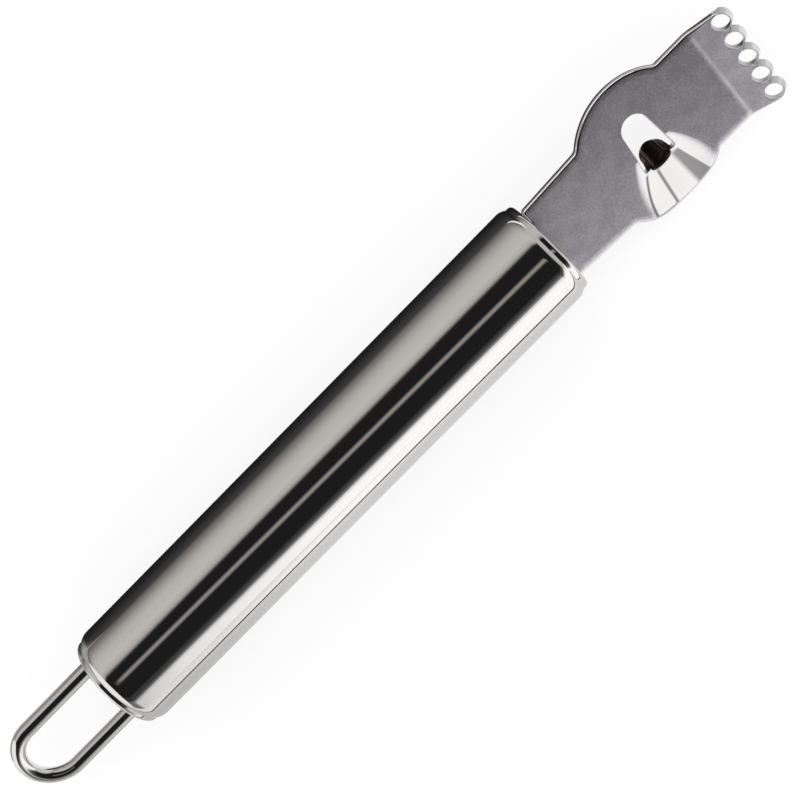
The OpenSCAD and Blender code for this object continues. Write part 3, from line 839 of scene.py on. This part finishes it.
def blade():
    shell = Shell()
    rings = edge_rings(shell)
    walls = cut_walls(shell)
    sheet_face(shell, 1, rings[-1], [rows[0] for rows in walls])
    sheet_face(shell, -1, rings[0], [rows[-1] for rows in walls])
    return shell


# Cutting lip, which grows out of the trough

LIP_COLS, LIP_ROWS = 48, 24
ROOT_IN, ROOT_THIN = 0.3, 0.05                # the lip's root lies this far inside the sheet


def crease_point(a):
    x, y = crease_plan(a)
    return np.array([x, y, float(sheet_z(np.array(x), np.array(y)))])


def edge_point(a):
    return np.array([LIP_HALF_W * math.sin(a), -LIP_FRONT_Y - LIP_RAKE * (1 - math.cos(a)),
                     -LIP_DEPTH + LIP_RISE * (1 - math.cos(a))])


def lip_point(a, s):
    k = 1 - LIP_BEND / 2
    ease = s * s / (2 * LIP_BEND * k) if s < LIP_BEND else (s - LIP_BEND / 2) / k
    c, e = crease_point(a), edge_point(a)
    return np.array([c[0] + (e[0] - c[0]) * s, c[1] + (e[1] - c[1]) * s, c[2] + (e[2] - c[2]) * ease])


def lip_normal(a, s):
    da = lip_point(a + 0.02, s) - lip_point(a - 0.02, s)
    ds = lip_point(a, min(1, s + 0.01)) - lip_point(a, max(0, s - 0.01))
    n = np.cross(da, ds)
    return n / np.linalg.norm(n)


def cutting_lip(shell):
    turns = [math.pi * k / LIP_COLS - math.pi / 2 for k in range(LIP_COLS + 1)]
    upper, lower = [], []
    for j in range(-1, LIP_ROWS + 1):
        s = max(j, 0) / LIP_ROWS
        up, low, n_up = [], [], []
        for a in turns:
            if j < 0:
                p = crease_point(a) - (0, ROOT_IN, 0)
                p[2] = float(sheet_z(np.array(p[0]), np.array(p[1])))
                n, half = np.array([0, 0, 1.0]), HALF_T - ROOT_THIN
            else:
                p, n = lip_point(a, s), lip_normal(a, s)
                half = (2 * HALF_T + (LIP_T - 2 * HALF_T) * s) / 2
            up.append(p + n * half + (LOBE_X, 0, 0))
            low.append(p - n * half + (LOBE_X, 0, 0))
            n_up.append(n)
        ids_up, ids_low = shell.add(up), shell.add(low)
        shell.normal(ids_up, n_up, "lip_top")
        shell.normal(ids_low, -np.array(n_up), "lip_low")
        upper.append(ids_up)
        lower.append(ids_low)
    for a, b in zip(upper, upper[1:]):
        shell.band(a, b, "lip_top", closed=False)
    for a, b in zip(lower, lower[1:]):
        shell.band(b, a, "lip_low", closed=False)
    shell.band(upper[-1], lower[-1], "lip_edge", closed=False)
    shell.band(lower[0], upper[0], "lip_root", closed=False)
    for side, flip in ((0, False), (-1, True)):
        for j in range(len(upper) - 1):
            corners = [upper[j][side], upper[j + 1][side], lower[j + 1][side], lower[j][side]]
            shell.face(corners[::-1] if flip else corners, f"lip_side{side}")


blade_shell = blade()
cutting_lip(blade_shell)
finishes = {"edge": edge_steel, "comb": ground_steel}
# The cutting lip takes the steel with painted shade
finishes.update(dict.fromkeys(("lip_top", "lip_edge", "lip_side0", "lip_side-1"), lip_painted_shade))
finishes.update(dict.fromkeys([f"wall{number}" for number in range(HOLES)], cut_steel))
blade_piece = blade_shell.build("blade_sheet", satin, finishes, slot="satin_steel", node="blade")


# Floor, reflected cards, lights and camera

def staged(name, points, faces, material, only_reflected=True):
    mesh = bpy.data.meshes.new(name)
    mesh.from_pydata([tuple(p) for p in points], [], faces)
    mesh.materials.append(material)
    obj = bpy.data.objects.new(name, mesh)
    bpy.context.scene.collection.objects.link(obj)
    if only_reflected:
        obj.visible_camera = obj.visible_diffuse = obj.visible_shadow = False
        obj.visible_volume_scatter = False
    return obj


def tone_material(name):
    """Light of the colour that the mesh carries, which fades evenly between its points."""
    mat = bpy.data.materials.new(name)
    mat.use_nodes = True
    nodes, links = mat.node_tree.nodes, mat.node_tree.links
    nodes.clear()
    tone = nodes.new("ShaderNodeAttribute")
    tone.attribute_name = "tone"
    glow = nodes.new("ShaderNodeEmission")
    links.new(tone.outputs["Color"], glow.inputs["Color"])
    links.new(glow.outputs[0], nodes.new("ShaderNodeOutputMaterial").inputs["Surface"])
    return mat


def cards(name, rows, place):
    """A sheet of card seen only in reflections; rows hold (x, place value, colour) from edge to edge."""
    points = [place(x, value) for row in rows for x, value, _ in row]
    faces = []
    width = len(rows[0])
    for j in range(len(rows) - 1):
        for k in range(width - 1):
            i = j * width + k
            faces.append((i, i + 1, i + width + 1, i + width))
    obj = staged(name, points, faces, tone_material(name))
    tone = obj.data.attributes.new("tone", "FLOAT_COLOR", "POINT")
    tone.data.foreach_set("color", [v for row in rows for _, _, colour in row for v in (*colour, 1.0)])


def on_tent(radius):
    """Places a card point on a tube about the handle's axis, at degrees from straight up towards +Y."""
    def place(x, angle):
        a = math.radians(angle)
        return (x, radius * math.sin(a), HANDLE_R / 1000 + radius * math.cos(a))
    return place


def on_floor(height):
    return lambda x, y: (x, y, height)


def grey(level, warmth=0.0):
    return (level, level * (1 - 0.35 * warmth), level * (1 - 0.7 * warmth))


def refined(stops, step):
    """Adds stops in between so that a curved card stays round."""
    out = []
    for (a, slant_a, tone_a), (b, slant_b, tone_b) in zip(stops, stops[1:]):
        n = max(1, int(abs(b - a) / step))
        for k in range(n):
            f = k / n
            out.append((a + (b - a) * f, slant_a + (slant_b - slant_a) * f,
                        tuple(p + (q - p) * f for p, q in zip(tone_a, tone_b))))
    return out + [stops[-1]]


FLOOR_REACH, FLOOR_GREY, FLOOR_GLOW = 6.0, 0.28, 0.74


def floor_material():
    mat = bpy.data.materials.new("floor_paper")
    mat.use_nodes = True
    nodes, links = mat.node_tree.nodes, mat.node_tree.links
    nodes.clear()
    matt = nodes.new("ShaderNodeBsdfDiffuse")
    matt.inputs["Color"].default_value = (FLOOR_GREY, FLOOR_GREY, FLOOR_GREY, 1)
    glow = nodes.new("ShaderNodeEmission")
    glow.inputs["Color"].default_value = (1, 1, 1, 1)
    glow.inputs["Strength"].default_value = FLOOR_GLOW
    both = nodes.new("ShaderNodeAddShader")
    out = nodes.new("ShaderNodeOutputMaterial")
    links.new(matt.outputs[0], both.inputs[0])
    links.new(glow.outputs[0], both.inputs[1])
    links.new(both.outputs[0], out.inputs["Surface"])
    return mat


floor_corners = [(x * FLOOR_REACH, y * FLOOR_REACH, 0) for x, y in ((-1, -1), (1, -1), (1, 1), (-1, 1))]
staged("floor", floor_corners, [(0, 1, 2, 3)], floor_material(), only_reflected=False)

# Reflected tent round the handle: angle, slant of that line in degrees a metre, light
BLACK, WARM = grey(0.014), 0.1
TENT = [
    (-92, 0, grey(1.25)), (-74, -30, grey(1.20)), (-68.5, -30, grey(0.90)), (-65, -30, grey(0.24)),
    (-60, -30, grey(0.08)), (-51, -30, BLACK), (10, 0, BLACK), (13.5, 0, grey(0.03, WARM)),
    (17.5, 0, grey(0.30, WARM)), (21, 0, grey(0.50, WARM)), (32, 0, grey(0.62, WARM)),
    (54, 0, grey(0.56, WARM)), (68, 0, grey(0.42, WARM)), (73, 0, grey(0.34, WARM)),
    (78, 0, grey(0.265, WARM)), (84, 0, grey(0.20, WARM)), (88, 0, grey(0.15, WARM)),
    (92, 0, grey(0.11, WARM)),
]
TENT_R, TENT_STEP = 0.60, 3
TENT_XS = (-0.80, -0.60, -0.45, -0.32, -0.22, -0.12, -0.04, 0.05, 0.20, 0.40, 0.50, 0.60, 0.80, 3.0)
TENT_FRONT_X, TENT_FRONT = 0.7, grey(0.55)
SLANT_MID, SLANT_REACH = -0.08, 0.25
SIDE_CARD_TOP = -60
SIDE_XS, SIDE_LEVELS = (-0.46, -0.37, -0.31, -0.26, -0.235, -0.10), (0.15, 0.17, 0.26, 0.40, 0.78, 1.0)


def slanted(x):
    return min(SLANT_REACH, max(-SLANT_REACH, x - SLANT_MID))


def tent_tone(x, angle, tone):
    """The tent's light at a point. The side card is dimmer to the rear and the far front an even grey."""
    if x > TENT_FRONT_X:
        return TENT_FRONT
    level = 1.0 if angle > SIDE_CARD_TOP else float(np.interp(x, SIDE_XS, SIDE_LEVELS))
    return tuple(v * level for v in tone)


cards("tent", [[(x, angle + slant * slanted(x), tent_tone(x, angle, tone)) for x in TENT_XS]
               for angle, slant, tone in refined(TENT, TENT_STEP)], on_tent(TENT_R))

# A thin soft line of light inside the tent's black stretch
LINE_R, LINE_MID, LINE_SLANT, LINE_HALF, LINE_STEPS = 0.585, -15.5, -37.0, 5.8, 4
LINE_LEVEL, LINE_WARM = 0.36, 0.15
LINE_XS = (-0.250, -0.20, -0.12, -0.04, 0.05, 0.16)


def line_row(k):
    share = k / LINE_STEPS
    tone = grey(0.014 + LINE_LEVEL * (1 - abs(share)), LINE_WARM)
    return [(x, LINE_MID + LINE_SLANT * slanted(x) + LINE_HALF * share, tone) for x in LINE_XS]


cards("thin_light", [line_row(k) for k in range(-LINE_STEPS, LINE_STEPS + 1)], on_tent(LINE_R))

# Cards just over the floor, beside the handle: place across it and light
CARD_HEIGHT = 0.0002
CARD_BACK_X, CARD_FRONT_X = -0.5, 0.5
DARK_MID_X, DARK_FRONT_X = 0.04, 0.094
DARK_ROWS = 25
FLOOR_DARK = [(0.0095, 0.011), (0.017, 0.013), (0.05, 0.04), (0.094, 0.05), (0.175, 0.066), (0.3, 0.08),
              (0.6, 0.10)]
REAR_FADE, REAR_GREY, FAR_REAR_GREY = 0.012, grey(0.40), grey(0.46)
FLOOR_LIGHT = [(-0.0095, 0.74), (-0.020, 0.74), (-0.0380, 0.87), (-0.0388, 0.87), (-0.0396, 0.03),
               (-0.0458, 0.03), (-0.0466, 1.2), (-0.6, 1.25)]
LIGHT_XS = (CARD_BACK_X, -0.12, -0.06, -0.02, 0.0, 0.03, 0.0375, CARD_FRONT_X)
LIGHT_FADE_XS, LIGHT_FADE = (-0.12, -0.06, -0.02), (0.68, 0.76, 1.0)
NARROW_FROM_X, NARROW_SHARE = 0.025, 0.88     # the light card is narrower towards the blade


def dark_end(y):
    """The dark card's rear edge, rounded about the handle's end."""
    return -0.0575 - 0.30 * math.hypot(y - 0.008, 0.014)


def dark_row(y, tone):
    end = dark_end(y)
    return [(CARD_BACK_X, y, FAR_REAR_GREY), (end - REAR_FADE, y, REAR_GREY), (end, y, grey(tone)),
            (DARK_MID_X, y, grey(tone)), (DARK_FRONT_X, y, grey(tone))]


def light_row(y, tone):
    return [(x, y * (NARROW_SHARE if x > NARROW_FROM_X else 1),
             grey(tone * float(np.interp(x, LIGHT_FADE_XS, LIGHT_FADE)))) for x in LIGHT_XS]


dark_ys = np.geomspace(FLOOR_DARK[0][0], FLOOR_DARK[-1][0], DARK_ROWS)
dark_tones = np.interp(dark_ys, *zip(*FLOOR_DARK))
cards("dark_floor_card", [dark_row(y, t) for y, t in zip(dark_ys.tolist(), dark_tones.tolist())],
      on_floor(CARD_HEIGHT))
cards("light_floor_card", [light_row(y, t) for y, t in FLOOR_LIGHT], on_floor(CARD_HEIGHT))


def strip_light(name, aim, angle, elevation, distance, size, power, pieces):
    """A soft light that only the given pieces reflect, seen from aim at angles like the tent's."""
    a, e = math.radians(angle), math.radians(elevation)
    way = Vector((math.sin(e), math.cos(e) * math.sin(a), math.cos(e) * math.cos(a)))
    data = bpy.data.lights.new(name, "AREA")
    data.shape = "RECTANGLE"
    data.size, data.size_y = size
    data.energy = power
    obj = bpy.data.objects.new(name, data)
    bpy.context.scene.collection.objects.link(obj)
    across = Vector((math.cos(e), -math.sin(e) * math.sin(a), -math.sin(e) * math.cos(a)))
    turned = Matrix((across, way.cross(across), way)).transposed()
    obj.matrix_world = Matrix.Translation(Vector(to_world([aim])[0]) + way * distance) @ turned.to_4x4()
    obj.visible_camera = False
    receivers = bpy.data.collections.new(name + "_receivers")
    for piece in pieces:
        receivers.objects.link(piece)
    obj.light_linking.receiver_collection = receivers


strip_light("bend_light", (BEND_X + 0.6, 0, 0.8), -65, -18, 1.2, (0.36, 0.23), 0.60, [blade_piece])
strip_light("edge_light", (BEND_X / 2, NECK_TOP_W / 2, 0), 30, 8, 0.4, (0.60, 0.09), 0.24, [blade_piece])

world = bpy.data.worlds.new("studio")
bpy.context.scene.world = world
world.use_nodes = True
world.node_tree.nodes["Background"].inputs["Color"].default_value = (1, 1, 1, 1)
world.node_tree.nodes["Background"].inputs["Strength"].default_value = 1.0

# Camera, fitted to the photograph
LENS_PX, FRAME_PX, SENSOR = 1579.204, 800, 36.0
CAMERA_AT = (-14.300, 117.684, 212.832)
LEAN_A, LEAN_B, LEAN_C, TOOL_ANGLE = 0.425276, -0.294784, -0.082419, math.radians(45.4)


def camera_axes():
    """Right, down and forward of the camera in the tool's frame."""
    c, s = math.cos(TOOL_ANGLE), math.sin(TOOL_ANGLE)
    base = np.array([[c, -s, 0], [-s, -c, 0], [0, 0, -1.0]])
    ca, sa, cb, sb = math.cos(LEAN_A), math.sin(LEAN_A), math.cos(LEAN_B), math.sin(LEAN_B)
    cg, sg = math.cos(LEAN_C), math.sin(LEAN_C)
    about_x = np.array([[1, 0, 0], [0, ca, -sa], [0, sa, ca]])
    about_y = np.array([[cb, 0, sb], [0, 1, 0], [-sb, 0, cb]])
    about_z = np.array([[cg, -sg, 0], [sg, cg, 0], [0, 0, 1]])
    return about_z @ about_y @ about_x @ base


right, down, forward = turn_to_world(camera_axes())
camera_data = bpy.data.cameras.new("camera")
camera_data.sensor_width = SENSOR
camera_data.lens = LENS_PX * SENSOR / FRAME_PX
camera_data.clip_start, camera_data.clip_end = 0.01, 50
camera = bpy.data.objects.new("camera", camera_data)
bpy.context.scene.collection.objects.link(camera)
turned = Matrix((right, -down, -forward)).transposed()
camera.matrix_world = Matrix.Translation(Vector(to_world([CAMERA_AT])[0])) @ turned.to_4x4()
bpy.context.scene.camera = camera
bpy.context.scene.view_settings.view_transform = "Standard"
